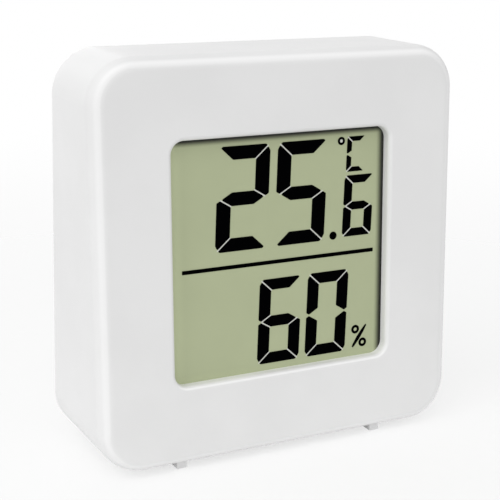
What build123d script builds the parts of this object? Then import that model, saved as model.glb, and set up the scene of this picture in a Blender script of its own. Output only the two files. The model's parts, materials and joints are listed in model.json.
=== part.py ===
from build123d import *

import os
from math import atan2, copysign, cos, degrees, radians, sin, sqrt

# A small desk display for temperature and humidity, in millimetres.
# X runs to the right seen from the front, Y runs into the depth and Z points up.
# The origin lies on the table, in the middle of the case's footprint.
# The case is a wedge: its front and rear faces both lean in towards the top.
# The front frame starts on the front face, with Y as the depth behind it.
# The rear frame starts on the rear face, with minus Y as the depth behind it.

# Case
case_width = 45.0
case_height = 45.0
case_depth_bottom = 16.0
case_depth_top = 12.0
front_lean_share = 0.5
corner_radius = 5.0
front_edge_radius = 1.0
rear_edge_radius = 0.7
side_wall = 1.5
front_wall = 1.3
rim_wall = 1.0
overrun = 1.0  # how far a cutting shape passes the face it cuts
weld = 0.2  # how far a rib or a boss reaches into the wall that carries it

# Feet, four short ribs under the case
foot_width = 1.2
foot_length = 3.0
foot_height = 0.9
foot_spacing = 25.4
foot_inset = 1.0
foot_edge_radius = 0.15

# Window in the front face
window_border = 8.9
window_corner_radius = 1.5
window_edge_radius = 0.5

# Liquid crystal cell behind the window, stacked from front to rear
polarizer_thickness = 0.2
polarizer_overlap = 1.2
glass_thickness = 0.7
glass_overlap = 1.9
rear_glass_overlap = 0.9
contact_ledge = 2.5
reflector_thickness = 0.3
reflector_inset = 0.4

# Holder that carries the cell, and the elastic connector in it
holder_wall = 1.0
holder_gap = 0.15
holder_web = 0.8
holder_corner_radius = 1.5
connector_height = 2.8
connector_thickness = 2.0
connector_inset = 2.0
connector_gap = 0.1
stay_thickness = 0.8
stay_length = 8.0
stay_height = 1.6
stay_gap = 0.2

# Circuit board and what holds it
board_thickness = 1.0
board_gap = 0.6
board_notch_gap = 0.4
board_boss_radius = 1.5
board_boss_gap = 0.25
board_boss_spacing = 16.0
board_boss_rib = 1.0
board_hole_gap = 0.15
board_screw_radius = 0.7
board_screw_length = 2.8
board_screw_head_radius = 1.2
board_screw_head_height = 0.7
pilot_extra_depth = 0.4
thread_gap = 0.03
cross_width = 0.3
cross_length = 1.3
cross_depth = 0.35

# Rear cover and its screws
cover_thickness = 1.5
cover_gap = 0.1
cover_skirt_wall = 0.8
cover_skirt_depth = 1.2
cover_post_length = 1.2
cover_boss_radius = 1.7
cover_screw_radius = 0.8
cover_screw_length = 7.0
cover_screw_head_radius = 1.3
cover_screw_head_height = 0.9
cover_screw_recess = 1.5
cover_screw_gap = 0.15
cover_rib_thickness = 0.8
cover_rib_depth = 1.0

# Coin cell
cell_radius = 10.0
cell_thickness = 3.2
cell_depth = 1.8
cell_gap = 0.4
cell_sheet = 0.25
cell_seal_width = 0.85
cell_crimp_width = 0.45
cell_cup_gap = 0.85

# Battery well with its bayonet track, and the cap that turns in it
well_wall = 1.0
well_floor = 0.8
well_spring_space = 0.5
well_skirt_gap = 0.45
cap_overlap = 0.45
cap_thickness = 1.2
cap_gap = 0.15
cap_seat_gap = 0.1
cap_edge_radius = 0.2
skirt_wall = 0.7
lip_thickness = 0.7
lug_reach = 0.9
lug_thickness = 0.7
lug_gap = 0.12
lug_count = 3
lug_width_angle = 24.0
lug_first_angle = 90.0
notch_extra_angle = 6.0
stop_gap_angle = 1.0
stop_width_angle = 8.0
unlock_angle = 40.0
coin_slot_length = 13.0
coin_slot_width = 2.0
coin_slot_depth = 0.85
coin_slot_wall = 1.0
coin_slot_back = 0.7
mark_radius = 0.5
mark_depth = 0.15
mark_inset = 1.3

# Battery contacts, bent from strip
strip_thickness = 0.25
strip_width = 3.0
strip_gap = 0.2
leg_gap = 0.05
touch_gap = 0.03
side_leg_reach = 1.1
side_finger_top = 0.35
side_finger_drop = 1.1
side_finger_bend = 0.5
side_tip_drop = 0.4
side_tip_reach = 0.3
pocket_depth = 1.55
pocket_wall = 1.0
floor_leg_place = 7.0
floor_bend_place = 1.5
floor_tip_place = 2.5

# Hanging keyhole in the rear cover
keyhole_radius = 3.0
keyhole_slot_radius = 1.5
keyhole_travel = 3.5
keyhole_from_top = 10.4
keyhole_cup_radius = 3.5
keyhole_cup_wall = 0.8
keyhole_cup_depth = 3.0

# Vents in the rear cover, in front of the sensing parts
vent_count = 5
vent_width = 1.0
vent_length = 6.5
vent_pitch = 2.0
vents_from_side = 6.9
vents_from_top = 10.0

# Unit button with the switch behind it
button_radius = 2.2
button_gap = 0.15
button_from_side = 10.5
button_from_top = 10.0
button_sink = 0.2
button_edge_radius = 0.4
button_travel = 0.3
button_flange_reach = 0.8
button_flange_thickness = 0.7
button_play = 0.1
button_stem_radius = 1.0
collar_wall = 0.8
collar_depth = 1.1
switch_size = 4.5
switch_height = 1.65
switch_corner_radius = 0.4
switch_plate_thickness = 0.15
switch_plate_inset = 0.1
plunger_radius = 0.9
plunger_rise = 0.7
plunger_sink = 0.8
plunger_gap = 0.15

# Small parts on the rear of the circuit board
blob_radius = 3.5
blob_height = 1.0
blob_screw_gap = 0.4
blob_from_bottom = 8.5
sensor_size = 3.0
sensor_corner_radius = 0.3
sensor_height = 1.0
sensor_port_radius = 0.6
sensor_port_depth = 0.4
bead_radius = 0.75
bead_rise = 2.6
bead_lead_spacing = 0.8
lead_radius = 0.15
crystal_radius = 0.75
crystal_length = 5.0
crystal_screw_gap = 1.6
crystal_switch_gap = 2.8
crystal_lead_reach = 0.8
crystal_lead_spacing = 0.6
chip_pitch = 2.9
capacitor_count = 4
capacitor_length = 1.25
capacitor_width = 2.0
capacitor_height = 0.8
capacitor_screw_gap = 1.4
capacitor_sensor_gap = 1.9
resistor_count = 4
resistor_length = 1.6
resistor_width = 0.8
resistor_height = 0.5
resistor_boss_offset = 2.8  # from the middle of the left board screws
resistor_from_top = 5.6

# Angles, in degrees
upright = 90.0
full_turn = 360.0
facing_limit = 10.0  # a face that leans less than this still faces front or rear

# Frames of the leaning faces
wedge = case_depth_bottom - case_depth_top
front_angle = atan2(wedge * front_lean_share, case_height)
rear_angle = atan2(wedge * (1 - front_lean_share), case_height)
front_frame = Location((0, -case_depth_bottom / 2, foot_height), (-degrees(front_angle), 0, 0))
rear_frame = Location((0, case_depth_bottom / 2, foot_height), (degrees(rear_angle), 0, 0))
face_middle = case_height / 2 / cos(front_angle)

# Depths behind the front face
polarizer_back = front_wall + polarizer_thickness
front_glass_back = polarizer_back + glass_thickness
rear_glass_back = front_glass_back + glass_thickness
reflector_back = rear_glass_back + reflector_thickness
web_back = reflector_back + holder_web
board_front = front_glass_back + connector_height
board_back = board_front + board_thickness

# Outlines in the front frame
window_width = case_width - 2 * window_border
window_height = case_height - 2 * window_border
glass_width = window_width + 2 * glass_overlap
glass_top = face_middle + window_height / 2 + glass_overlap
rear_glass_bottom = face_middle - window_height / 2 - rear_glass_overlap
front_glass_bottom = rear_glass_bottom - contact_ledge
holder_width = glass_width + 2 * (holder_gap + holder_wall)
holder_top = glass_top + holder_gap + holder_wall
holder_bottom = front_glass_bottom - holder_gap - holder_wall
connector_middle = front_glass_bottom + contact_ledge / 2
connector_length = glass_width - 2 * connector_inset
board_boss_place = holder_width / 2 + board_boss_gap + board_boss_radius

# Corner bosses, from the centre of the case's corner arc outwards along the diagonal
cover_boss_reach = corner_radius - side_wall + weld - cover_boss_radius

# Depths behind the rear face
recess_depth = cap_thickness + cap_seat_gap
lip_depth = recess_depth + lip_thickness
lug_top = lip_depth + lug_gap
lug_bottom = lug_top + lug_thickness
groove_depth = lug_bottom + cap_gap
cell_bottom = cell_depth + cell_thickness
well_depth = cell_bottom + well_spring_space
well_back = well_depth + well_floor
flange_depth = cover_thickness + button_play
cup_back = cover_thickness + keyhole_cup_depth + keyhole_cup_wall

# Radii about the coin cell's axis
well_radius = cell_radius + cell_gap
skirt_radius = well_radius + skirt_wall
lug_radius = skirt_radius + lug_reach
groove_radius = lug_radius + cap_gap
cap_radius = groove_radius + cap_overlap
well_flange_radius = groove_radius + well_wall
well_outer_radius = well_radius + well_wall
side_leg_place = cell_radius + side_leg_reach + strip_thickness

# Heights on the rear face; the well sits just above the cover's skirt
cell_middle = side_wall + cover_gap + cover_skirt_wall + well_skirt_gap + well_flange_radius
keyhole_middle = case_height - keyhole_from_top
vent_middle = case_height - vents_from_top
button_middle = case_height - button_from_top

# Places across the rear face
vent_last_place = case_width / 2 - vents_from_side
vent_first_place = vent_last_place - (vent_count - 1) * vent_pitch
button_place = button_from_side - case_width / 2

# Places on the circuit board: the sensing parts lie behind the vents, the rest beside the screws
sensor_place = (vent_first_place + vent_last_place) / 2
screw_clear_place = board_boss_place - board_screw_head_radius
blob_place = blob_screw_gap + blob_radius - screw_clear_place
crystal_place = crystal_screw_gap + crystal_length / 2 - screw_clear_place
crystal_middle = button_middle - switch_size / 2 - crystal_switch_gap - crystal_radius
capacitor_last_place = screw_clear_place - capacitor_screw_gap - capacitor_length / 2
capacitor_place = capacitor_last_place - (capacitor_count - 1) * chip_pitch
capacitor_middle = vent_middle - sensor_size / 2 - capacitor_sensor_gap - capacitor_width / 2
resistor_place = resistor_boss_offset - board_boss_place
resistor_middle = case_height - resistor_from_top


def front_plane(depth):
    # Y at a height on a plane parallel to the front face
    start = -case_depth_bottom / 2
    return lambda z: start + (depth + (z - foot_height) * sin(front_angle)) / cos(front_angle)


def rear_plane(depth):
    # Y at a height on a plane parallel to the rear face
    start = case_depth_bottom / 2
    return lambda z: start - (depth + (z - foot_height) * sin(rear_angle)) / cos(rear_angle)


def rear_depth(front_depth, height):
    # Depth behind the rear face of a point on a plane that is parallel to the front face
    both = front_angle + rear_angle
    return (case_depth_bottom * cos(front_angle) - front_depth - height * sin(both)) / cos(both)


def case_slice(inset, near, far):
    # The case's rounded outline, drawn in by an inset, between two leaning planes
    low = foot_height + inset
    high = foot_height + case_height - inset
    side = Polyline((near(low), low), (near(high), high), (far(high), high), (far(low), low), close=True)
    block = extrude(Plane.YZ * make_face(side), amount=case_width / 2 - inset, both=True)
    return block.fillet(corner_radius - inset, block.edges().filter_by(Axis.Y))


def plate(outline, y_from, y_to):
    # An outline drawn in X and Z, thickened between two places along Y
    return extrude(Plane.XZ.offset(-y_to) * outline, amount=y_to - y_from)


def sunk(outline, depth_from, depth_to):
    # The same between two depths behind the rear face, in the rear frame
    return plate(outline, -depth_to, -depth_from)


def band(x_from, x_to, z_from, z_to):
    return Pos((x_from + x_to) / 2, (z_from + z_to) / 2) * Rectangle(x_to - x_from, z_to - z_from)


def ring_sector(inner, outer, middle_angle, width_angle):
    start = middle_angle - width_angle / 2
    outer_arc = CenterArc((0, 0), outer, start, width_angle)
    inner_arc = CenterArc((0, 0), inner, start, width_angle)
    sides = [Line(outer_arc @ 0, inner_arc @ 0), Line(outer_arc @ 1, inner_arc @ 1)]
    return make_face([outer_arc, inner_arc] + sides)


def largest_face(solid, direction):
    least = cos(radians(facing_limit))
    facing = solid.faces().filter_by(lambda face: face.normal_at().dot(direction) > least)
    return facing.sort_by(SortBy.AREA)[-1]


def pan_screw(shank_radius, shank_length, head_radius, head_height):
    # Seat at Y zero, the head towards plus Y, with a cross in it
    shank = plate(Circle(shank_radius), -shank_length, 0)
    head = plate(Circle(head_radius), 0, head_height)
    head = head.fillet(head_height / 2, head.edges().sort_by(Axis.Y)[-1:])
    cross = Rectangle(cross_length, cross_width) + Rectangle(cross_width, cross_length)
    return shank + head - plate(cross, head_height - cross_depth, head_height + overrun)


def cover_screw_places():
    # The four corners, as X and Z
    reach = cover_boss_reach / sqrt(2)
    across = case_width / 2 - corner_radius + reach
    up = case_height / 2 - corner_radius + reach
    middle = foot_height + case_height / 2
    return [(x, middle + z) for x in (-across, across) for z in (-up, up)]


def board_screw_places():
    # Two on each side, as X and Z in the front frame
    up = board_boss_spacing / 2
    return [(x, face_middle + z) for x in (-board_boss_place, board_boss_place) for z in (-up, up)]


def screw_seat(z):
    return rear_plane(0)(z) - cover_screw_recess


def cover_columns(radius, y_from, y_to):
    outline = Sketch() + [Pos(x, z) * Circle(radius) for x, z in cover_screw_places()]
    return plate(outline, y_from, y_to)


def feet():
    # They reach up into the bottom wall, so that they are one moulding with it
    place = case_depth_bottom / 2 - foot_inset - foot_length / 2
    height = foot_height + weld
    foot = Pos(Z=height / 2) * Box(foot_width, foot_length, height)
    foot = foot.fillet(foot_edge_radius, foot.faces().sort_by(Axis.Z)[0].edges())
    return [Pos(x, y) * foot for x in (-foot_spacing / 2, foot_spacing / 2) for y in (-place, place)]


def front_shell():
    # Rounded block with its edges broken, hollowed from the rear, with a rebate for the cover
    block = case_slice(0, front_plane(0), rear_plane(0))
    block = block.fillet(front_edge_radius, largest_face(block, Vector(0, -1, 0)).edges())
    block = block.fillet(rear_edge_radius, largest_face(block, Vector(0, 1, 0)).edges())
    cavity = case_slice(side_wall, front_plane(front_wall), rear_plane(-overrun))
    rebate = case_slice(rim_wall, rear_plane(cover_thickness), rear_plane(-overrun))
    return block - cavity - rebate


def window_cutter():
    opening = RectangleRounded(window_width, window_height, window_corner_radius)
    return front_frame * plate(Pos(0, face_middle) * opening, -overrun, front_wall + overrun)


def housing_bosses():
    # Corner bosses for the cover screws, trimmed to the underside of the cover's posts
    room = case_slice(
        side_wall - weld, front_plane(front_wall - weld), rear_plane(cover_thickness + cover_post_length)
    )
    corner = cover_columns(cover_boss_radius, -case_depth_bottom, case_depth_bottom) & room
    board = []
    rib_length = case_width / 2 - side_wall + weld - board_boss_place
    for x, z in board_screw_places():
        rib_middle = copysign(board_boss_place + rib_length / 2, x)
        outline = Pos(x, z) * Circle(board_boss_radius)
        outline += Pos(rib_middle, z) * Rectangle(rib_length, board_boss_rib)
        board.append(front_frame * plate(outline, front_wall - weld, board_front))
    return [corner] + board


def housing_stays():
    # Four ribs on the front wall that keep the holder in its place
    half = stay_length / 2
    side = holder_width / 2 + stay_gap
    top = holder_top + stay_gap
    bottom = holder_bottom - stay_gap
    outlines = [
        band(side, side + stay_thickness, face_middle - half, face_middle + half),
        band(-side - stay_thickness, -side, face_middle - half, face_middle + half),
        band(-half, half, top, top + stay_thickness),
        band(-half, half, bottom - stay_thickness, bottom),
    ]
    return [front_frame * plate(one, front_wall - weld, front_wall + stay_height) for one in outlines]


def housing_pilots():
    deep = cover_screw_length + pilot_extra_depth
    radius = cover_screw_radius + thread_gap
    holes = []
    for x, z in cover_screw_places():
        seat = screw_seat(z)
        holes.append(plate(Pos(x, z) * Circle(radius), seat - deep, seat))
    deep = board_screw_length - board_thickness + pilot_extra_depth
    radius = board_screw_radius + thread_gap
    for x, z in board_screw_places():
        hole = plate(Pos(x, z) * Circle(radius), board_front - deep, board_front + overrun)
        holes.append(front_frame * hole)
    return holes


def front_housing():
    housing = front_shell() - window_cutter()
    rim = largest_face(housing, Vector(0, -1, 0)).inner_wires()[0].edges()
    housing = housing.fillet(window_edge_radius, rim)
    housing = housing + feet() + housing_bosses() + housing_stays()
    return housing - housing_pilots()


def lcd_outline(width, bottom, top, inset=0):
    return band(-width / 2 + inset, width / 2 - inset, bottom + inset, top - inset)


def lcd_front_polarizer():
    outline = Rectangle(window_width + 2 * polarizer_overlap, window_height + 2 * polarizer_overlap)
    return front_frame * plate(Pos(0, face_middle) * outline, front_wall, polarizer_back)


def lcd_front_glass():
    # The wider pane: its lower ledge carries the contact tracks
    outline = lcd_outline(glass_width, front_glass_bottom, glass_top)
    return front_frame * plate(outline, polarizer_back, front_glass_back)


def lcd_rear_glass():
    outline = lcd_outline(glass_width, rear_glass_bottom, glass_top)
    return front_frame * plate(outline, front_glass_back, rear_glass_back)


def lcd_rear_reflector():
    outline = lcd_outline(glass_width, rear_glass_bottom, glass_top, reflector_inset)
    return front_frame * plate(outline, rear_glass_back, reflector_back)


def lcd_holder():
    # Tray round the cell, with a web behind it and a slot for the elastic connector
    height = holder_top - holder_bottom
    outline = RectangleRounded(holder_width, height, holder_corner_radius)
    pocket = lcd_outline(glass_width, front_glass_bottom, glass_top, -holder_gap)
    slot = Rectangle(connector_length + 2 * connector_gap, connector_thickness + 2 * connector_gap)
    tray = plate(Pos(0, holder_bottom + height / 2) * outline, front_wall, board_front)
    tray -= plate(pocket, front_wall - overrun, reflector_back)
    slot_top = connector_middle + connector_thickness / 2
    rear_pocket = lcd_outline(glass_width, slot_top + holder_wall, glass_top, holder_wall / 2)
    tray -= plate(rear_pocket, web_back, board_front + overrun)
    tray -= plate(Pos(0, connector_middle) * slot, reflector_back - overrun, board_front + overrun)
    return front_frame * tray


def elastic_connector():
    outline = Pos(0, connector_middle) * Rectangle(connector_length, connector_thickness)
    return front_frame * plate(outline, front_glass_back, board_front)


def circuit_board():
    board = case_slice(side_wall + board_gap, front_plane(board_front), front_plane(board_back))
    board -= cover_columns(cover_boss_radius + board_notch_gap, -case_depth_bottom, case_depth_bottom)
    for x, z in board_screw_places():
        hole = Pos(x, z) * Circle(board_screw_radius + board_hole_gap)
        board -= front_frame * plate(hole, board_front - overrun, board_back + overrun)
    return board


def board_screws():
    screw = pan_screw(
        board_screw_radius, board_screw_length, board_screw_head_radius, board_screw_head_height
    )
    return [front_frame * Pos(x, board_back, z) * screw for x, z in board_screw_places()]


def cover_screws():
    screw = pan_screw(
        cover_screw_radius, cover_screw_length, cover_screw_head_radius, cover_screw_head_height
    )
    return [Pos(x, screw_seat(z), z) * screw for x, z in cover_screw_places()]


def lug_angles():
    return [lug_first_angle + index * full_turn / lug_count for index in range(lug_count)]


def at_cell(shape):
    return Pos(0, cell_middle) * shape


def well_outside():
    # Flange round the bayonet track, narrower cup round the cell, and a box round the side contact
    half = strip_width / 2 + strip_gap + pocket_wall
    far = well_radius + pocket_depth + pocket_wall
    start = cover_thickness - weld
    return [
        sunk(at_cell(Circle(well_flange_radius)), start, groove_depth + well_floor),
        sunk(at_cell(Circle(well_outer_radius)), start, well_back),
        sunk(at_cell(band(0, far, -half, half)), groove_depth, well_back),
    ]


def well_inside():
    half = strip_width / 2 + strip_gap
    leg_half = strip_thickness / 2 + strip_gap
    cuts = [
        sunk(at_cell(Circle(cap_radius + cap_gap)), -overrun, recess_depth),
        sunk(at_cell(Circle(skirt_radius + cap_gap)), -overrun, groove_depth),
        sunk(at_cell(Circle(groove_radius)), lip_depth, groove_depth),
        sunk(at_cell(Circle(well_radius)), -overrun, well_depth),
        sunk(at_cell(band(0, well_radius + pocket_depth, -half, half)), groove_depth - weld, well_depth),
    ]
    for leg in (side_leg_place, -floor_leg_place):
        slot = band(leg - leg_half, leg + leg_half, -half, half)
        cuts.append(sunk(at_cell(slot), groove_depth, well_back + overrun))
    for angle in lug_angles():
        notch = ring_sector(
            well_radius, groove_radius, angle - unlock_angle, lug_width_angle + notch_extra_angle
        )
        cuts.append(sunk(at_cell(notch), -overrun, groove_depth))
    return cuts


def well_stops():
    # A lug comes to rest against one when the cap is locked
    away = (lug_width_angle + stop_width_angle) / 2 + stop_gap_angle
    stops = []
    for angle in lug_angles():
        outline = ring_sector(skirt_radius + cap_gap, groove_radius + weld, angle + away, stop_width_angle)
        stops.append(sunk(at_cell(outline), lip_depth - weld, groove_depth + weld))
    return stops


def keyhole_path(radius):
    slot = SlotCenterToCenter(keyhole_travel, 2 * radius, upright)
    return Pos(0, keyhole_middle + keyhole_travel / 2) * slot


def cover_details():
    # What stands up inside the cover
    inset = side_wall + cover_gap
    start = cover_thickness - weld
    skirt_depth = cover_thickness + cover_skirt_depth
    skirt = case_slice(inset, rear_plane(skirt_depth), rear_plane(start))
    skirt -= case_slice(inset + cover_skirt_wall, rear_plane(skirt_depth + overrun), rear_plane(-overrun))
    posts = cover_columns(cover_boss_radius, -case_depth_bottom, case_depth_bottom)
    posts &= case_slice(inset, rear_plane(cover_thickness + cover_post_length), rear_plane(start))
    collar_outline = Circle(button_radius + button_flange_reach + button_gap + collar_wall)
    collar = sunk(Pos(button_place, button_middle) * collar_outline, start, flange_depth + collar_depth)
    cup = sunk(keyhole_path(keyhole_cup_radius + keyhole_cup_wall), start, cup_back)
    reach = case_width / 2 - inset - cover_skirt_wall / 2
    rib_outline = at_cell(Rectangle(2 * reach, cover_rib_thickness))
    rib = sunk(rib_outline, start, cover_thickness + cover_rib_depth)
    return [skirt, posts, rear_frame * collar, rear_frame * cup, rear_frame * rib]


def cover_cuts():
    cuts = []
    cuts.append(sunk(keyhole_path(keyhole_cup_radius), cover_thickness, cover_thickness + keyhole_cup_depth))
    opening = Pos(0, keyhole_middle) * Circle(keyhole_radius) + keyhole_path(keyhole_slot_radius)
    cuts.append(sunk(opening, -overrun, cover_thickness + keyhole_cup_depth))
    vent = SlotOverall(vent_length, vent_width, upright)
    for index in range(vent_count):
        place = Pos(vent_first_place + index * vent_pitch, vent_middle)
        cuts.append(sunk(place * vent, -overrun, cover_thickness + overrun))
    button = Pos(button_place, button_middle)
    cuts.append(sunk(button * Circle(button_radius + button_gap), -overrun, cover_thickness + overrun))
    flange = button_radius + button_flange_reach + button_gap
    cuts.append(sunk(button * Circle(flange), cover_thickness, flange_depth + collar_depth + overrun))
    mark_place = cap_radius + mark_inset
    for angle in (lug_first_angle, lug_first_angle - unlock_angle):
        x = mark_place * cos(radians(angle))
        z = mark_place * sin(radians(angle))
        cuts.append(sunk(at_cell(Pos(x, z) * Circle(mark_radius)), -overrun, mark_depth))
    return [rear_frame * cut for cut in cuts]


def cover_screw_holes():
    holes = []
    for x, z in cover_screw_places():
        seat = screw_seat(z)
        through = Pos(x, z) * Circle(cover_screw_radius + cover_screw_gap)
        head = Pos(x, z) * Circle(cover_screw_head_radius + cover_screw_gap)
        holes.append(plate(through, seat - case_depth_bottom, seat + overrun))
        holes.append(plate(head, seat, case_depth_bottom))
    return holes


def rear_cover():
    cover = case_slice(rim_wall + cover_gap, rear_plane(cover_thickness), rear_plane(0))
    cover = cover + cover_details() + [rear_frame * one for one in well_outside()]
    cover = cover - [rear_frame * one for one in well_inside()]
    cover = cover + [rear_frame * one for one in well_stops()]
    return cover - cover_cuts() - cover_screw_holes()


def battery_cap():
    # Disc flush with the cover, a skirt below it and lugs that turn in under the track's lip
    disc = sunk(Circle(cap_radius), 0, cap_thickness)
    disc = disc.fillet(cap_edge_radius, disc.edges().sort_by(Axis.Y)[-1:])
    skirt = sunk(Circle(skirt_radius) - Circle(well_radius), cap_thickness - weld, lug_bottom)
    back = coin_slot_depth + coin_slot_back
    slot_back = sunk(
        SlotOverall(coin_slot_length + 2 * coin_slot_wall, coin_slot_width + 2 * coin_slot_wall),
        cap_thickness - weld, back,
    )
    cap = disc + skirt + slot_back
    for angle in lug_angles():
        cap += sunk(ring_sector(skirt_radius - weld, lug_radius, angle, lug_width_angle), lug_top, lug_bottom)
    cap -= sunk(SlotOverall(coin_slot_length, coin_slot_width), -overrun, coin_slot_depth)
    mark_place = cap_radius - mark_inset
    cap -= sunk(Pos(0, mark_place) * Circle(mark_radius), -overrun, mark_depth)
    return rear_frame * Pos(0, 0, cell_middle) * cap


def coin_cell_can():
    # Drawn cup, open towards the circuit board, with its rim crimped in
    inner = cell_radius - cell_sheet
    rim = cell_bottom - cell_sheet
    can = sunk(at_cell(Circle(cell_radius)), cell_depth, rim)
    can -= sunk(at_cell(Circle(inner)), cell_depth + cell_sheet, rim - cell_sheet)
    can -= sunk(at_cell(Circle(inner - cell_crimp_width)), cell_depth + cell_sheet, cell_bottom)
    return rear_frame * can


def coin_cell_cap():
    outer = cell_radius - cell_sheet - cell_seal_width
    start = cell_depth + cell_sheet + cell_cup_gap
    cup = sunk(at_cell(Circle(outer)), start, cell_bottom)
    cup -= sunk(at_cell(Circle(outer - cell_sheet)), start - overrun, cell_bottom - cell_sheet)
    return rear_frame * cup


def coin_cell_seal():
    outer = cell_radius - cell_sheet
    inner = outer - cell_seal_width
    start = cell_depth + cell_sheet + cell_cup_gap
    rim = cell_bottom - cell_sheet
    seal = sunk(at_cell(Circle(outer) - Circle(inner)), start, rim - cell_sheet)
    seal += sunk(at_cell(Circle(outer - cell_crimp_width) - Circle(inner)), rim - cell_sheet, rim)
    return rear_frame * seal


def coin_cell_stack():
    # The two electrodes and the separator, as one puck
    radius = cell_radius - cell_sheet - cell_seal_width - cell_sheet
    return rear_frame * sunk(at_cell(Circle(radius)), cell_depth + cell_sheet, cell_bottom - cell_sheet)


def bent_strip(points):
    # Points are X and depth behind the rear face: the line that the middle of the strip follows
    path = Polyline(*[(x, -depth) for x, depth in points])
    profile = trace(path, strip_thickness)
    return rear_frame * Pos(0, 0, cell_middle) * extrude(profile, amount=strip_width / 2, both=True)


def leg_end():
    return rear_depth(board_back, cell_middle + strip_width / 2) - leg_gap


def positive_contact():
    # Stands in the pocket beside the cell, its folded finger leans on the can
    touch = cell_radius + strip_thickness / 2 + touch_gap
    top = groove_depth + side_finger_top
    points = [
        (side_leg_place, leg_end()),
        (side_leg_place, top + side_finger_bend),
        (side_leg_place - side_finger_bend, top),
        (touch, top + side_finger_drop),
        (touch + side_tip_reach, top + side_finger_drop + side_tip_drop),
    ]
    return bent_strip(points)


def negative_contact():
    # Lies on the well's floor, its tongue rises to the cell's cup
    floor = well_depth - strip_thickness / 2
    tip = cell_bottom + strip_thickness / 2 + touch_gap
    points = [
        (-floor_leg_place, leg_end()),
        (-floor_leg_place, floor),
        (-floor_bend_place, floor),
        (floor_tip_place, tip),
    ]
    return bent_strip(points)


def unit_button():
    flange_bottom = flange_depth + button_flange_thickness
    plunger_top = board_back + switch_height + plunger_rise
    stem_end = rear_depth(plunger_top, button_middle + button_stem_radius) - leg_gap
    key = sunk(Circle(button_radius), button_sink, flange_depth + weld)
    key = key.fillet(button_edge_radius, key.edges().sort_by(Axis.Y)[-1:])
    key += sunk(Circle(button_radius + button_flange_reach), flange_depth, flange_bottom)
    key += sunk(Circle(button_stem_radius), flange_bottom - weld, stem_end)
    return rear_frame * Pos(button_place, 0, button_middle) * key


def switch_spot():
    # Where the button's axis meets the switch, in the front frame
    depth = rear_depth(board_back + switch_height, button_middle)
    spot = front_frame.inverse() * rear_frame * Pos(button_place, -depth, button_middle)
    return Pos(button_place, 0, spot.position.Z)


def tact_switch():
    body = RectangleRounded(switch_size, switch_size, switch_corner_radius)
    top = board_back + switch_height - switch_plate_thickness
    bottom = board_back + switch_height - plunger_sink - button_travel
    block = plate(body, board_back, top)
    block -= plate(Circle(plunger_radius + plunger_gap), bottom, top + overrun)
    return front_frame * switch_spot() * block


def switch_plate():
    size = switch_size - 2 * switch_plate_inset
    outline = RectangleRounded(size, size, switch_corner_radius) - Circle(plunger_radius + plunger_gap)
    top = board_back + switch_height
    return front_frame * switch_spot() * plate(outline, top - switch_plate_thickness, top)


def switch_plunger():
    top = board_back + switch_height
    return front_frame * switch_spot() * plate(Circle(plunger_radius), top - plunger_sink, top + plunger_rise)


def controller_blob():
    # Drop of black resin over the bare controller die: the cap of a sphere
    sphere_radius = (blob_radius ** 2 + blob_height ** 2) / (2 * blob_height)
    ball = Pos(0, blob_height - sphere_radius, 0) * Sphere(sphere_radius)
    drop = ball & plate(Circle(blob_radius + overrun), 0, blob_height + overrun)
    return front_frame * Pos(blob_place, board_back, blob_from_bottom) * drop


def humidity_sensor():
    block = plate(RectangleRounded(sensor_size, sensor_size, sensor_corner_radius), 0, sensor_height)
    block -= plate(Circle(sensor_port_radius), sensor_height - sensor_port_depth, sensor_height + overrun)
    return front_frame * Pos(sensor_place, board_back, vent_middle) * block


def thermistor():
    # Glass bead held off the board by its two leads
    bead = Pos(0, bead_rise, 0) * Sphere(bead_radius)
    half = bead_lead_spacing / 2
    leads = [plate(Pos(x, 0) * Circle(lead_radius), 0, bead_rise) for x in (-half, half)]
    return front_frame * Pos(vent_last_place, board_back, vent_middle) * (bead + leads)


def timing_crystal():
    # Small can lying on the board, its leads bent down to it
    can = Pos(0, crystal_radius, 0) * Rot(Y=upright) * Cylinder(crystal_radius, crystal_length)
    end = crystal_length / 2 + crystal_lead_reach
    run = crystal_lead_reach + weld
    for z in (-crystal_lead_spacing / 2, crystal_lead_spacing / 2):
        can += Pos(end - run / 2, crystal_radius, z) * Rot(Y=upright) * Cylinder(lead_radius, run)
        can += plate(Pos(end - lead_radius, z) * Circle(lead_radius), 0, crystal_radius)
    return front_frame * Pos(crystal_place, board_back, crystal_middle) * can


def chip_row(chip, count, first, middle):
    places = [Pos(first + index * chip_pitch, board_back, middle) for index in range(count)]
    return [front_frame * place * chip for place in places]


def chip_capacitors():
    chip = plate(Rectangle(capacitor_length, capacitor_width), 0, capacitor_height)
    return chip_row(chip, capacitor_count, capacitor_place, capacitor_middle)


def chip_resistors():
    chip = plate(Rectangle(resistor_length, resistor_width), 0, resistor_height)
    return chip_row(chip, resistor_count, resistor_place, resistor_middle)


sub_parts = {
    "front_housing": front_housing,
    "lcd_front_polarizer": lcd_front_polarizer,
    "lcd_front_glass": lcd_front_glass,
    "lcd_rear_glass": lcd_rear_glass,
    "lcd_rear_reflector": lcd_rear_reflector,
    "lcd_holder": lcd_holder,
    "elastic_connector": elastic_connector,
    "circuit_board": circuit_board,
    "board_screws": board_screws,
    "rear_cover": rear_cover,
    "cover_screws": cover_screws,
    "battery_cap": battery_cap,
    "coin_cell_can": coin_cell_can,
    "coin_cell_cap": coin_cell_cap,
    "coin_cell_seal": coin_cell_seal,
    "coin_cell_stack": coin_cell_stack,
    "positive_contact": positive_contact,
    "negative_contact": negative_contact,
    "unit_button": unit_button,
    "tact_switch": tact_switch,
    "switch_plate": switch_plate,
    "switch_plunger": switch_plunger,
    "controller_blob": controller_blob,
    "humidity_sensor": humidity_sensor,
    "thermistor": thermistor,
    "timing_crystal": timing_crystal,
    "chip_capacitors": chip_capacitors,
    "chip_resistors": chip_resistors,
}

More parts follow.
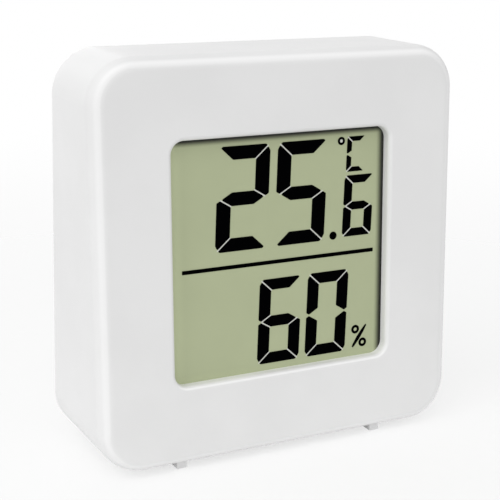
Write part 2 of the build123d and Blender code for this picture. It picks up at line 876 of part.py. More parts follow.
os.makedirs("parts", exist_ok=True)
for name, make in sub_parts.items():
    made = make()
    if isinstance(made, list):
        made = Compound(children=made)
    export_step(made, f"parts/{name}.step")
    print(name, len(made.solids()), round(made.volume, 2))
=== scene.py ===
import json
from math import cos, pi, radians, sin, tan
import bmesh
import bpy
from mathutils import Matrix, Vector


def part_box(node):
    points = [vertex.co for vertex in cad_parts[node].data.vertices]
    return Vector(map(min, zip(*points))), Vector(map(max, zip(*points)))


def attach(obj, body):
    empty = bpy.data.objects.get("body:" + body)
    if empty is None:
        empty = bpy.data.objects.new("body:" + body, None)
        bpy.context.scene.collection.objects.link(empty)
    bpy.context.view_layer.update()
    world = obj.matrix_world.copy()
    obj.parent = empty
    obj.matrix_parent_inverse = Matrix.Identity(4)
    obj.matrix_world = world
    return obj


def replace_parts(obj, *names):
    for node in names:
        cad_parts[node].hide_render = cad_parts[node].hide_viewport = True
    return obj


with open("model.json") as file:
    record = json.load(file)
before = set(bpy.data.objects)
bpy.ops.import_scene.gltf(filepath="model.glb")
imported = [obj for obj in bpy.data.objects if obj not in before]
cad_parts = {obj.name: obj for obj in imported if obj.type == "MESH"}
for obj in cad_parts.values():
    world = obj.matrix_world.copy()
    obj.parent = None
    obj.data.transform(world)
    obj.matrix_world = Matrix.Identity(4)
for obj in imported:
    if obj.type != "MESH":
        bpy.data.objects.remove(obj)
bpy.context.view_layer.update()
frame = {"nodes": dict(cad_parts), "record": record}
nodes = frame["nodes"]
mm = 0.001


# shader maths

class Shade:  # a node's output, which sums and products can be made from
    def __init__(self, tree, socket=None):
        self.tree = tree
        self.socket = socket

    def node(self, kind, settings=None, sockets=None, out=0):
        made = self.tree.nodes.new("ShaderNode" + kind)
        for name, value in (settings or {}).items():
            setattr(made, name, value)
        for name, value in (sockets or {}).items():
            if isinstance(value, Shade):
                self.tree.links.new(value.socket, made.inputs[name])
            else:
                made.inputs[name].default_value = value
        return Shade(self.tree, made.outputs[out])

    def maths(self, operation, *values):
        return self.node("Math", {"operation": operation}, dict(enumerate(values)))

    def __add__(self, other):
        return self.maths("ADD", self, other)

    def __radd__(self, other):
        return self.maths("ADD", other, self)

    def __sub__(self, other):
        return self.maths("SUBTRACT", self, other)

    def __rsub__(self, other):
        return self.maths("SUBTRACT", other, self)

    def __mul__(self, other):
        return self.maths("MULTIPLY", self, other)

    def __rmul__(self, other):
        return self.maths("MULTIPLY", other, self)

    def __truediv__(self, other):
        return self.maths("DIVIDE", self, other)

    def __rtruediv__(self, other):
        return self.maths("DIVIDE", other, self)

    def __abs__(self):
        return self.maths("ABSOLUTE", self)

    def larger(self, other):
        return self.maths("MAXIMUM", self, other)

    def fraction(self):
        return self.maths("FRACT", self)

    def part(self, axis):  # one of the three values of a vector
        return self.node("SeparateXYZ", {}, {"Vector": self}, axis)

    def dot(self, way):
        return self.node("VectorMath", {"operation": "DOT_PRODUCT"}, {0: self, 1: tuple(way)}, 1)

    def times(self, factor):  # a colour or vector made larger by a factor
        return self.node("VectorMath", {"operation": "SCALE"}, {0: self, 3: factor})

    def ramp(self, low, high):  # 0 below low, 1 above high, smooth between
        span = {1: low, 2: high, 3: 0.0, 4: 1.0}
        return self.node("MapRange", {"interpolation_type": "SMOOTHSTEP"}, {0: self, **span})

    def blend(self, first, second):  # two colours by this factor
        return self.node("Mix", {"data_type": "RGBA"}, {0: self, 6: first, 7: second}, 2)


def rgb(red, green, blue):
    return (red, green, blue, 1.0)


def newMaterial(name, colour, roughness, **fixed):
    material = bpy.data.materials.new(name)
    material.use_nodes = True
    surface = material.node_tree.nodes["Principled BSDF"]
    surface.inputs["Base Color"].default_value = rgb(*colour)
    surface.inputs["Roughness"].default_value = roughness
    for socket, value in fixed.items():
        surface.inputs[socket.replace("_", " ")].default_value = value
    return material, Shade(material.node_tree)


def feed(material, **links):
    surface = material.node_tree.nodes["Principled BSDF"]
    for socket, value in links.items():
        material.node_tree.links.new(value.socket, surface.inputs[socket.replace("_", " ")])


def spot(shade):
    return shade.node("TexCoord", out=3)  # object coordinates, in metres


def grain(shade, size, detail=2.0, place=None):
    place = place or spot(shade)
    return shade.node("TexNoise", {}, {"Vector": place, "Scale": 1.0 / size, "Detail": detail})


def bump(shade, height, depth, strength=1.0):
    return shade.node("Bump", {}, {"Height": height, "Distance": depth, "Strength": strength})


def twoTone(pattern, look):
    return pattern.blend(rgb(*look["dark"]), rgb(*look["pale"]))


def midTone(look):  # what a two-toned piece is like as a whole
    return (Vector(look["dark"]) + Vector(look["pale"])) / 2


def aboutItself(pattern, colour, shares):  # a colour that strays a little, darker and paler
    colour = Vector(colour)
    return pattern.blend(*(rgb(*(colour * share)) for share in shares))


# the display's face: its directions and its middle

film = nodes["lcd_front_polarizer"].data
frontMost = -0.9  # a face looks to the front where its normal's y is below this
frontFaces = [face for face in film.polygons if face.normal.y < frontMost]
outward = sum((face.normal for face in frontFaces), Vector()).normalized()
across = Vector((1, 0, 0))
upward = outward.cross(across)
frontCorners = [film.vertices[index].co for face in frontFaces for index in face.vertices]
filmLow = Vector([min(corner[axis] for corner in frontCorners) for axis in range(3)])
filmHigh = Vector([max(corner[axis] for corner in frontCorners) for axis in range(3)])
filmMiddle = (filmLow + filmHigh) / 2
displayFrame = Matrix((across, upward, outward)).transposed().to_4x4()
displayFrame.translation = filmMiddle


# finishes of the moulded plastics

plasticLooks = {
    "housing_plastic": {
        "colour": (0.852, 0.852, 0.852), "rough": 0.42, "grain": 0.10 * mm, "relief": 0.004 * mm,
        "gloss": 0.30,
        # painted highlight: the rounded front edges are painted paler, most where they face up
        "edge": {
            "colour": (0.99, 0.99, 0.99),
            "start": (0.62, 0.86),  # how much a surface faces the front, where the painted highlight starts and ends
            "end": (0.94, 0.998),
            "raised": (0.0, 0.7),  # painted highlight, full where an edge faces up, less down the outer sides
            "outer": (16 * mm, 17 * mm),
            "sideShare": 0.5,
            "smoother": 0.12,
        },
    },
    "cover_plastic": {
        "colour": (0.79, 0.79, 0.785), "rough": 0.55, "grain": 0.16 * mm, "relief": 0.012 * mm
    },
    "key_plastic": {
        "colour": (0.55, 0.56, 0.58), "rough": 0.45, "grain": 0.10 * mm, "relief": 0.004 * mm
    },
    "holder_plastic": {
        "colour": (0.76, 0.76, 0.73), "rough": 0.50, "grain": 0.20 * mm, "relief": 0.006 * mm
    },
    "switch_plastic": {
        "colour": (0.035, 0.035, 0.037), "rough": 0.50, "grain": 0.12 * mm, "relief": 0.005 * mm
    },
    "sensor_plastic": {
        "colour": (0.74, 0.74, 0.71), "rough": 0.60, "grain": 0.08 * mm, "relief": 0.004 * mm
    },
    "cell_seal_plastic": {
        "colour": (0.10, 0.10, 0.11), "rough": 0.50, "grain": 0.08 * mm, "relief": 0.003 * mm
    },
}
plasticClouds = {"size": 9 * mm, "span": (0.35, 0.65), "shares": (0.985, 1.01), "rough": 0.04}
plainGloss = 0.5


def paintedEdgeHighlight(shade, edge):  # 1 on the rounded edges of the front, which are smoother and get a painted highlight, most where they face up
    normal = shade.node("TexCoord", out=1)
    facing = normal.dot(outward)
    rounding = facing.ramp(*edge["start"]) * (1.0 - facing.ramp(*edge["end"]))
    place = spot(shade)
    fromMiddle = abs(place.part(0)).larger(abs(place.part(2) - filmMiddle.z))
    sides = edge["sideShare"] * fromMiddle.ramp(*edge["outer"])
    return rounding * normal.part(2).ramp(*edge["raised"]).larger(sides)


def plastic(name):
    look = plasticLooks[name]
    gloss = look.get("gloss", plainGloss)
    material, shade = newMaterial(name, look["colour"], look["rough"], Specular_IOR_Level=gloss)
    fine = grain(shade, look["grain"], detail=3.0)
    clouds = grain(shade, plasticClouds["size"]).ramp(*plasticClouds["span"])
    tint = aboutItself(clouds, look["colour"], plasticClouds["shares"])
    rough = look["rough"] + plasticClouds["rough"] * (clouds + fine - 1.0)
    if "edge" in look:
        edge = paintedEdgeHighlight(shade, look["edge"])
        # painted highlight on the rounded front edges
        tint = edge.blend(tint, rgb(*look["edge"]["colour"]))
        rough = rough - look["edge"]["smoother"] * edge
    feed(material, Base_Color=tint, Roughness=rough)
    feed(material, Normal=bump(shade, fine, look["relief"]))
    return material


print("finishes: plastics")
finishes = {name: plastic(name) for name in plasticLooks}


# finishes of the metals

metalLooks = {
    "screw_steel": {"colour": (0.56, 0.56, 0.57), "rough": 0.32, "line": 0.05 * mm},
    "cell_steel": {"colour": (0.66, 0.65, 0.63), "rough": 0.24, "line": 0.04 * mm},
    "contact_steel": {"colour": (0.70, 0.67, 0.60), "rough": 0.28, "line": 0.05 * mm},
    "crystal_metal": {"colour": (0.60, 0.60, 0.58), "rough": 0.30, "line": 0.06 * mm},
}
drawnLines = {"stretch": 0.06, "rough": 0.12, "relief": 0.003 * mm, "strength": 0.6}  # of drawing or rolling
stains = {"size": 2.5 * mm, "span": (0.45, 0.75), "shares": (1.0, 0.86), "rough": 0.10}


def metal(name):
    look = metalLooks[name]
    material, shade = newMaterial(name, look["colour"], look["rough"], Metallic=1.0)
    stretch = {"Vector": spot(shade), "Scale": (1.0, 1.0, drawnLines["stretch"])}
    lines = grain(shade, look["line"], place=shade.node("Mapping", {}, stretch))
    dull = grain(shade, stains["size"], detail=3.0).ramp(*stains["span"])
    feed(material, Base_Color=aboutItself(dull, look["colour"], stains["shares"]))
    feed(material, Roughness=look["rough"] + drawnLines["rough"] * lines + stains["rough"] * dull)
    feed(material, Normal=bump(shade, lines, drawnLines["relief"], drawnLines["strength"]))
    return material


print("finishes: metals")
finishes.update({name: metal(name) for name in metalLooks})


# finishes of the display

filmLook = {
    "green": (0.458, 0.501, 0.316),
    "cloud": 6 * mm,
    "cloudSpan": (0.3, 0.7),
    "cloudShares": (0.985, 1.015),
    "grain": 0.05 * mm,
    "rough": 0.42,
    "grainRough": 0.08,
    "relief": 0.001 * mm,
    "gloss": 0.25,
    "windowHalf": 13.6 * mm,
    "shade": (0.014, 0.015, 0.011),  # painted shadow of the window's wall, dark in the film along the top and the right
    "topShade": (0.22 * mm, 0.95 * mm),
    "sideShade": (0.15 * mm, 1.08 * mm),
    "leftPaintedLight": {"most": 0.24, "end": 2.0 * mm},  # painted light: paler where the window's walls keep light off
    # painted light along the foot of the window too
    "footPaintedLight": {"most": 0.09, "end": 1.0 * mm},
}
reflectorLook = {
    "dark": (0.44, 0.46, 0.41), "pale": (0.56, 0.58, 0.52), "rough": 0.40, "metal": 0.6, "grain": 0.06 * mm,
    "relief": 0.004 * mm,
}
glassLook = {
    "colour": (0.86, 0.93, 0.88), "index": 1.52, "rough": 0.03, "smearRough": 0.05, "smear": 3 * mm,
    "smearSpan": (0.4, 0.7),
}
inkLook = {
    "dark": (0.0004, 0.0004, 0.0006), "pale": (0.0012, 0.0012, 0.0016), "rough": 0.6, "gloss": 0.0,
    "grain": 0.08 * mm,
}
gapLook = {
    "dark": (0.64, 0.65, 0.60), "pale": (0.68, 0.69, 0.64), "rough": 0.5, "gloss": 0.25, "grain": 0.3 * mm
}


def polarizerFilm(look):
    gloss = look["gloss"]
    material, shade = newMaterial("polarizer_film", look["green"], look["rough"], Specular_IOR_Level=gloss)
    place = spot(shade)
    x = place.part(0)
    height = (place.part(2) - filmMiddle.z) * upward.z + (place.part(1) - filmMiddle.y) * upward.y
    # painted shadow of the window's wall along the top and the right of the film
    belowTop = (look["windowHalf"] - height).ramp(*look["topShade"])
    insideRight = (look["windowHalf"] - x).ramp(*look["sideShade"])
    shadow = 1.0 - belowTop * insideRight
    # painted light: the film is paler along the left and the foot of the window, where the walls keep light
    # off
    nearLeft = 1.0 - (x + look["windowHalf"]).ramp(0.0, look["leftPaintedLight"]["end"])
    nearFoot = 1.0 - (height + look["windowHalf"]).ramp(0.0, look["footPaintedLight"]["end"])
    paintedLight = look["leftPaintedLight"]["most"] * nearLeft + look["footPaintedLight"]["most"] * nearFoot
    clouds = grain(shade, look["cloud"]).ramp(*look["cloudSpan"])
    lit = aboutItself(clouds, look["green"], look["cloudShares"]).times(1.0 + paintedLight)
    fine = grain(shade, look["grain"])
    feed(material, Base_Color=shadow.blend(lit, rgb(*look["shade"])))
    feed(material, Roughness=look["rough"] + look["grainRough"] * fine)
    feed(material, Normal=bump(shade, fine, look["relief"]))
    return material


def reflectorFilm(look):
    material, shade = newMaterial("reflector_film", midTone(look), look["rough"], Metallic=look["metal"])
    sparkle = grain(shade, look["grain"], detail=3.0)
    feed(material, Base_Color=twoTone(sparkle, look))
    feed(material, Normal=bump(shade, sparkle, look["relief"]))
    return material


def displayGlass(look):
    clear = {"Transmission_Weight": 1.0, "IOR": look["index"]}
    material, shade = newMaterial("display_glass", look["colour"], look["rough"], **clear)
    smear = grain(shade, look["smear"], detail=3.0).ramp(*look["smearSpan"])
    feed(material, Roughness=look["rough"] + look["smearRough"] * smear)
    return material


def printedMark(name, look):
    material, shade = newMaterial(name, midTone(look), look["rough"], Specular_IOR_Level=look["gloss"])
    feed(material, Base_Color=twoTone(grain(shade, look["grain"]), look))
    return material


print("finishes: display")
finishes["polarizer_film"] = polarizerFilm(filmLook)
finishes["reflector_film"] = reflectorFilm(reflectorLook)
finishes["display_glass"] = displayGlass(glassLook)
ink = printedMark("segment_ink", inkLook)
gapPale = printedMark("segment_gap", gapLook)


# finishes of the parts on the board

boardLook = {
    "dark": (0.010, 0.085, 0.038), "pale": (0.022, 0.15, 0.060), "rough": 0.26, "weaveRough": 0.10,
    "weave": 0.25 * mm, "weaveShare": 0.15, "cell": 2.2 * mm, "trackSpan": (0.03, 0.06), "relief": 0.020 * mm,
}
rubberLook = {
    "silicone": (0.60, 0.36, 0.31), "carbon": (0.015, 0.015, 0.015), "rough": 0.55, "layer": 0.18 * mm,
    "layerSpan": (0.45, 0.55), "coreSpan": (0.45 * mm, 0.50 * mm), "relief": 0.006 * mm,
}
resinLook = {
    "dark": (0.008, 0.008, 0.009), "pale": (0.018, 0.017, 0.017), "rough": 0.14, "flowRough": 0.12,
    "coatRough": 0.08, "flow": 1.6 * mm, "span": (0.3, 0.7), "relief": 0.06 * mm,
}
beadLook = {
    "dark": (0.16, 0.05, 0.02), "pale": (0.28, 0.10, 0.035), "rough": 0.08, "swirlRough": 0.10,
    "swirl": 0.4 * mm, "span": (0.35, 0.65),
}
powderLook = {
    "dark": (0.035, 0.035, 0.04), "pale": (0.11, 0.11, 0.12), "rough": 0.85, "speck": 0.12 * mm,
    "span": (0.35, 0.7), "relief": 0.03 * mm,
}
chipLooks = {
    "chip_ceramic": {"node": "chip_capacitors", "dark": (0.38, 0.25, 0.14),
                     "pale": (0.42, 0.29, 0.17), "along": 2, "pitch": 0.0, "tinned": 0.4 * mm},
    "resistor_ceramic": {"node": "chip_resistors", "dark": (0.018, 0.018, 0.020),
                         "pale": (0.028, 0.028, 0.032), "along": 0, "pitch": 2.9 * mm, "tinned": 0.3 * mm},
}
chipEnds = {"tin": (0.62, 0.62, 0.60), "blur": 0.02 * mm, "rough": 0.45, "smoother": 0.12}
chipMottle = {"size": 0.2 * mm, "span": (0.4, 0.6)}


def boardLaminate(look):
    material, shade = newMaterial("board_laminate", midTone(look), look["rough"])
    cells = {"Vector": spot(shade), "Scale": 1.0 / look["cell"]}
    copper = 1.0 - shade.node("TexVoronoi", {"feature": "DISTANCE_TO_EDGE"}, cells).ramp(*look["trackSpan"])
    weave = grain(shade, look["weave"])
    feed(material, Base_Color=twoTone(copper, look))
    feed(material, Roughness=look["rough"] + look["weaveRough"] * weave)
    feed(material, Normal=bump(shade, copper + look["weaveShare"] * weave, look["relief"]))
    return material


def connectorRubber(look):
    material, shade = newMaterial("connector_rubber", look["silicone"], look["rough"])
    low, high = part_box("elastic_connector")
    middle = (low + high) / 2
    place = spot(shade)
    fromCore = abs(place.dot(upward) - middle.dot(upward))
    layers = (place.part(0) / look["layer"]).fraction().ramp(*look["layerSpan"])
    black = layers * (1.0 - fromCore.ramp(*look["coreSpan"]))
    feed(material, Base_Color=black.blend(rgb(*look["silicone"]), rgb(*look["carbon"])))
    feed(material, Normal=bump(shade, layers, look["relief"]))
    return material


def resinBlack(look):
    coat = look["coatRough"]
    material, shade = newMaterial("resin_black", midTone(look), look["rough"], Coat_Roughness=coat)
    flow = grain(shade, look["flow"], detail=1.0)
    feed(material, Base_Color=twoTone(flow.ramp(*look["span"]), look))
    feed(material, Roughness=look["rough"] + look["flowRough"] * flow)
    feed(material, Normal=bump(shade, flow, look["relief"]))
    return material


def beadGlass(look):
    material, shade = newMaterial("bead_glass", midTone(look), look["rough"])
    swirl = grain(shade, look["swirl"])
    feed(material, Base_Color=twoTone(swirl.ramp(*look["span"]), look))
    feed(material, Roughness=look["rough"] + look["swirlRough"] * swirl)
    return material


def cellPowder(look):
    material, shade = newMaterial("cell_chemistry", midTone(look), look["rough"])
    specks = grain(shade, look["speck"], detail=4.0)
    feed(material, Base_Color=twoTone(specks.ramp(*look["span"]), look))
    feed(material, Normal=bump(shade, specks, look["relief"]))
    return material


def chipCeramic(name):  # body and tinned ends, told apart by the place along each chip of the row
    look = chipLooks[name]
    material, shade = newMaterial(name, midTone(look), chipEnds["rough"])
    low, high = (corner[look["along"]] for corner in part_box(look["node"]))
    place = spot(shade).part(look["along"])
    if look["pitch"]:  # the chips stand end to end, so the place is taken from each one's own start
        gaps = int((high - low) / look["pitch"])
        half = (high - low - gaps * look["pitch"]) / 2
        fromMiddle = abs(look["pitch"] * ((place - low) / look["pitch"]).fraction() - half)
    else:
        half = (high - low) / 2
        fromMiddle = abs(place - (low + high) / 2)
    start = half - look["tinned"]
    tin = fromMiddle.ramp(start - chipEnds["blur"], start + chipEnds["blur"])
    ceramic = twoTone(grain(shade, chipMottle["size"]).ramp(*chipMottle["span"]), look)
    feed(material, Base_Color=tin.blend(ceramic, rgb(*chipEnds["tin"])), Metallic=tin)
    feed(material, Roughness=chipEnds["rough"] - chipEnds["smoother"] * tin)
    return material


print("finishes: board parts")
finishes["board_laminate"] = boardLaminate(boardLook)
finishes["connector_rubber"] = connectorRubber(rubberLook)
finishes["resin_black"] = resinBlack(resinLook)
finishes["bead_glass"] = beadGlass(beadLook)
finishes["cell_chemistry"] = cellPowder(powderLook)
finishes.update({name: chipCeramic(name) for name in chipLooks})

for part in frame["record"]["subparts"]:
    node = nodes[part["node"]]
    node.data.materials.clear()
    node.data.materials.append(finishes[part["material_slot"]])
print("finishes given to", len(nodes), "packed pieces")


# meshes

def addPrism(work, outline, heights, place, hole=None):
    # an outline in u and v, in millimetres, between two heights above the face that carries it
    rings = []
    for points in filter(None, (outline, hole)):
        levels = [[place @ (Vector((u, v, w)) * mm) for u, v in points] for w in heights]
        rings.append([[work.verts.new(corner) for corner in level] for level in levels])
    count = len(outline)
    if hole is None:
        work.faces.new(rings[0][1])
        work.faces.new(list(reversed(rings[0][0])))
    for index in range(count):
        after = (index + 1) % count
        for below, above in rings:
            work.faces.new((below[index], below[after], above[after], above[index]))
        if hole is not None:
            for level in (0, 1):
                outer, inner = rings[0][level], rings[1][level]
                work.faces.new((outer[index], outer[after], inner[after], inner[index]))


def asPiece(name, mesh, body="case"):
    piece = bpy.data.objects.new(name, mesh)
    bpy.context.scene.collection.objects.link(piece)
    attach(piece, body)
    return piece


def asMesh(name, work):
    bmesh.ops.recalc_face_normals(work, faces=work.faces)
    mesh = bpy.data.meshes.new(name)
    work.to_mesh(mesh)
    work.free()
    return mesh


def newPiece(name, work, material):
    mesh = asMesh(name, work)
    mesh.materials.append(material)
    return asPiece(name, mesh)


def turned(radius, k, steps, middle=(0.0, 0.0)):  # a circle's point after k of the steps round it
    angle = 2 * pi * k / steps
    return middle[0] + radius * cos(angle), middle[1] + radius * sin(angle)


def circle(middle, radius, steps=40):
    return [turned(radius, k, steps, middle) for k in range(steps)]


def drawnIn(points, gap):  # the outline moved inwards all round
    count = len(points)
    corners = [Vector(point) for point in points]
    area = sum(corners[k - 1].cross(corners[k]) for k in range(count))
    side = 1 if area > 0 else -1
    made = []
    for k, here in enumerate(corners):
        into = (here - corners[k - 1]).normalized()
        out = (corners[(k + 1) % count] - here).normalized()
        first = side * Vector((-into.y, into.x))
        second = side * Vector((-out.y, out.x))
        made.append(here + (first + second) * (gap / (1 + first.dot(second))))
    return made


reachShare = 0.45  # the most of a side that a rounded corner may take


def softened(points, radius, steps=5):  # the outline with its corners rounded
    count = len(points)
    made = []
    for k, here in enumerate(points):
        before = points[k - 1] - here
        after = points[(k + 1) % count] - here
        reach = radius / tan(before.angle(after) / 2)
        reach = min(reach, reachShare * before.length, reachShare * after.length)
        start = here + before.normalized() * reach
        end = here + after.normalized() * reach
        for step in range(steps + 1):
            t = step / steps
            made.append(start * (1 - t) ** 2 + here * (2 * t * (1 - t)) + end * t ** 2)
    return made


# the housing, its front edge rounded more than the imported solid's, but for the bottom, where the feet stand

housing = {
    "footHeight": 0.9 * mm,
    "cornerRadius": 5.0 * mm,
    "packedRound": 1.0 * mm,
    "round": 1.5 * mm,
    "slack": 0.08,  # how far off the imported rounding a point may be, as a share of it
}


def held(value, low, high):
    return min(max(value, low), high)


def roundFrontEdge(mesh):
    low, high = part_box("front_housing")
    reach = housing["cornerRadius"]
    coreLow = Vector((low.x + reach, 0, low.z + housing["footHeight"] + reach))
    coreHigh = Vector((high.x - reach, 0, high.z - reach))
    faceReach = max(vertex.co.dot(outward) for vertex in mesh.vertices)
    growth = housing["round"] / housing["packedRound"] - 1
    normals = [tuple(corner.vector) for corner in mesh.corner_normals]
    for vertex in mesh.vertices:
        here = vertex.co
        core = Vector((held(here.x, coreLow.x, coreHigh.x), here.y, held(here.z, coreLow.z, coreHigh.z)))
        way = (here - core).normalized()
        sharp = core + way * reach  # where the side would meet the front without a rounding
        sharp.y = (faceReach - sharp.z * outward.z) / outward.y
        inside = (sharp - here).dot(way) / housing["packedRound"]
        behind = (here.y - sharp.y) / housing["packedRound"]
        onRound = abs(Vector((1 - inside, 1 - behind)).length - 1) < housing["slack"]
        if onRound and max(inside, behind) < 1 + housing["slack"]:
            vertex.co = sharp + (here - sharp) * (1 + growth * (1 + min(0, way.z)))
    mesh.normals_split_custom_set(normals)


shell = nodes["front_housing"].data.copy()
roundFrontEdge(shell)
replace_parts(asPiece("housingShell", shell), "front_housing")
print("housing")


# the marks on the display, in millimetres from the middle of the window

inkHeights = (-0.01, 0.03)
gapHeights = (-0.01, 0.012)
slant = tan(radians(2.7))
segmentGap = 0.15
segmentCorner = 0.10  # as a share of the upright
lineCorner = 0.06
litSegments = {"0": "abcdef", "2": "abged", "5": "afgcd", "6": "afgecd", "C": "afed"}
digitRows = {
    "temperatureDigits": {"signs": "25", "starts": (-8.22, -0.85), "base": 0.71, "width": 6.57,
                          "height": 11.85, "upright": 1.90, "level": 1.65},
    "temperatureTenths": {"signs": "6", "starts": (8.00,), "base": 0.87, "width": 4.06,
                          "height": 7.27, "upright": 1.23, "level": 1.07},
    "unitLetter": {"signs": "C", "starts": (8.46,), "base": 8.42, "width": 2.56,
                   "height": 4.18, "upright": 0.78, "level": 0.69},
    "humidityDigits": {"signs": "60", "starts": (-3.11, 3.11), "base": -12.86, "width": 5.56,
                       "height": 10.02, "upright": 1.63, "level": 1.42},
}
cornerShares = {  # of the upright
    "jointIn": 0.17, "jointDown": 0.13, "top": 0.33, "side": 0.45, "tip": 0.26, "shoulder": 0.15
}
endJoint = (1, 2)  # the corners of the upright's outline between which it meets the other segment
middleJoint = (4, 3)
segmentJoints = {
    "af": endJoint, "ab": endJoint, "de": endJoint, "dc": endJoint,
    "fg": middleJoint, "eg": middleJoint, "bg": middleJoint, "cg": middleJoint,
}


def segmentOutlines(row):  # the seven segments of a digit, from the lower left corner of its box
    w, h, s, t = row["width"], row["height"], row["upright"], row["level"]
    jointIn, jointDown, topCut, sideCut, tip, shoulder = (share * s for share in cornerShares.values())
    half = h / 2
    upperLeft = [
        (0, h - sideCut), (jointIn, h - jointDown), (s, h - t), (s, half + t / 2), (tip, half),
        (0, half + shoulder),
    ]
    top = [
        (jointIn, h - jointDown), (topCut, h), (w - topCut, h), (w - jointIn, h - jointDown), (w - s, h - t),
        (s, h - t),
    ]
    middle = [
        (tip, half), (s, half + t / 2), (w - s, half + t / 2), (w - tip, half), (w - s, half - t / 2),
        (s, half - t / 2),
    ]
    return {
        "a": top,
        "b": [(w - u, v) for u, v in upperLeft],
        "c": [(w - u, h - v) for u, v in upperLeft],
        "d": [(u, h - v) for u, v in top],
        "e": [(u, h - v) for u, v in upperLeft],
        "f": upperLeft,
        "g": middle,
    }


def placed(points, start, row):
    return [Vector((start + u + v * slant, row["base"] + v)) for u, v in points]


def gapStrip(pair, outlines):  # the pale line between two lit segments
    upright = outlines[pair[1]] if pair[0] in "ad" else outlines[pair[0]]
    a, b = (Vector(upright[corner]) for corner in segmentJoints[pair])
    aside = Vector((-(b - a).y, (b - a).x)).normalized() * (segmentGap / 2)
    return [a + aside, b + aside, b - aside, a - aside]


for name, row in digitRows.items():
    outlines = segmentOutlines(row)
    work = bmesh.new()
    pale = bmesh.new()
    for sign, start in zip(row["signs"], row["starts"]):
        lit = litSegments[sign]
        for letter in lit:
            shape = drawnIn(placed(outlines[letter], start, row), segmentGap / 2)
            addPrism(work, softened(shape, segmentCorner * row["upright"]), inkHeights, displayFrame)
        for pair in segmentJoints:
            if pair[0] in lit and pair[1] in lit:
                strip = placed(gapStrip(pair, outlines), start, row)
                addPrism(pale, strip, gapHeights, displayFrame)
    newPiece(name, work, ink)
    newPiece(name + "Gaps", pale, gapPale)
print("display: digits")

dots = {
    "decimalPoint": {"middle": (6.91, 1.23), "outer": 0.47},
    "degreeRing": {"middle": (7.91, 12.09), "outer": 0.47, "inner": 0.19},
}
percent = {
    "rings": ((10.07, -10.39), (11.08, -12.09)),
    "outer": 0.53,
    "inner": 0.22,
    "low": (9.69, -12.53),
    "high": (11.54, -9.96),
    "halfWidths": ((0.0, 0.09), (0.08, 0.15), (0.40, 0.23), (0.72, 0.20), (0.94, 0.12), (1.0, 0.06)),
}
divider = {"left": -12.13, "right": 12.33, "middle": -0.98, "thick": 0.44}

for name, dot in dots.items():
    work = bmesh.new()
    hole = circle(dot["middle"], dot["inner"]) if "inner" in dot else None
    addPrism(work, circle(dot["middle"], dot["outer"]), inkHeights, displayFrame, hole)
    newPiece(name, work, ink)
work = bmesh.new()
addPrism(work, circle(dots["degreeRing"]["middle"], dots["degreeRing"]["inner"]), gapHeights, displayFrame)
newPiece("degreeRingMiddle", work, gapPale)

work = bmesh.new()
for middle in percent["rings"]:
    hole = circle(middle, percent["inner"])
    addPrism(work, circle(middle, percent["outer"]), inkHeights, displayFrame, hole)
low, high = Vector(percent["low"]), Vector(percent["high"])
aside = Vector((low.y - high.y, high.x - low.x)).normalized()
leftSide = [low.lerp(high, share) + aside * wide for share, wide in percent["halfWidths"]]
rightSide = [low.lerp(high, share) - aside * wide for share, wide in reversed(percent["halfWidths"])]
addPrism(work, softened(leftSide + rightSide, lineCorner), inkHeights, displayFrame)
newPiece("percentSign", work, ink)

work = bmesh.new()
top = divider["middle"] + divider["thick"] / 2
bottom = divider["middle"] - divider["thick"] / 2
left, right = divider["left"], divider["right"]
bar = [Vector(corner) for corner in ((left, bottom), (right, bottom), (right, top), (left, top))]
addPrism(work, softened(bar, lineCorner), inkHeights, displayFrame)
newPiece("dividerLine", work, ink)
print("display: marks")


# screws, in millimetres along and across their own axis

screwLooks = {
    "cover_screws": {"piece": "coverScrews", "axis": Vector((0, 1, 0)), "head": 1.30, "headHeight": 0.90,
                     "shank": 0.80, "root": 0.58, "pitch": 0.65, "point": 0.9},
    "board_screws": {"piece": "boardScrews", "axis": -outward, "head": 1.20, "headHeight": 0.70,
                     "shank": 0.70, "root": 0.50, "pitch": 0.50, "point": 0.5},
}
headShape = {
    "rimIn": 0.04, "rimUp": 0.06, "steps": 48,
    "skirtShare": 0.45,  # of the head's height
    "crown": 0.75,  # the smaller, the fuller the head's top
    "crownAngles": range(10, 90, 10),  # in degrees
}
cross = {
    "reach": 0.68, "width": 0.16, "depth": 0.48, "above": 0.3,
    "footReachShare": 0.42,  # the recess narrows towards its foot
    "footWidthShare": 0.826,
}
headTurns = {"first": 0.4, "next": 1.0}  # in radians, so that no two crosses stand alike
threadSteps = 28
threadOverlap = 0.1
sharpAngle = radians(35)


def screwSpots(node, axis):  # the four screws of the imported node, one in each quarter: place and ends
    side = axis.cross(across).normalized()
    corners = [vertex.co for vertex in nodes[node].data.vertices]
    middle = sum(corners, Vector()) / len(corners)
    found = []
    for right in (False, True):
        for over in (False, True):
            mine = [c for c in corners if (c.x > middle.x) == right and (c.z > middle.z) == over]
            xs = [c.x for c in mine]
            sides = [c.dot(side) for c in mine]
            depths = [c.dot(axis) for c in mine]
            place = across * (min(xs) + max(xs)) / 2 + side * (min(sides) + max(sides)) / 2
            found.append((place, min(depths), max(depths), side))
    return found


def pointAt(work, radius, k, steps, height, place):  # a new corner on a circle about the screw's axis
    return work.verts.new(place @ (Vector((*turned(radius, k, steps), height)) * mm))


def ring(work, radius, height, place, steps):
    return [pointAt(work, radius, k, steps, height, place) for k in range(steps)]


def addLathe(work, profile, place, steps):  # radius and height pairs turned about the axis, closed on it
    rings = []
    for radius, height in profile:
        if radius == 0:
            rings.append([work.verts.new(place @ Vector((0, 0, height * mm)))])
        else:
            rings.append(ring(work, radius, height, place, steps))
    for lower, upper in zip(rings, rings[1:]):
        for k in range(steps):
            after = (k + 1) % steps
            if len(lower) == 1:
                work.faces.new((lower[0], upper[k], upper[after]))
            elif len(upper) == 1:
                work.faces.new((lower[k], lower[after], upper[0]))
            else:
                work.faces.new((lower[k], lower[after], upper[after], upper[k]))


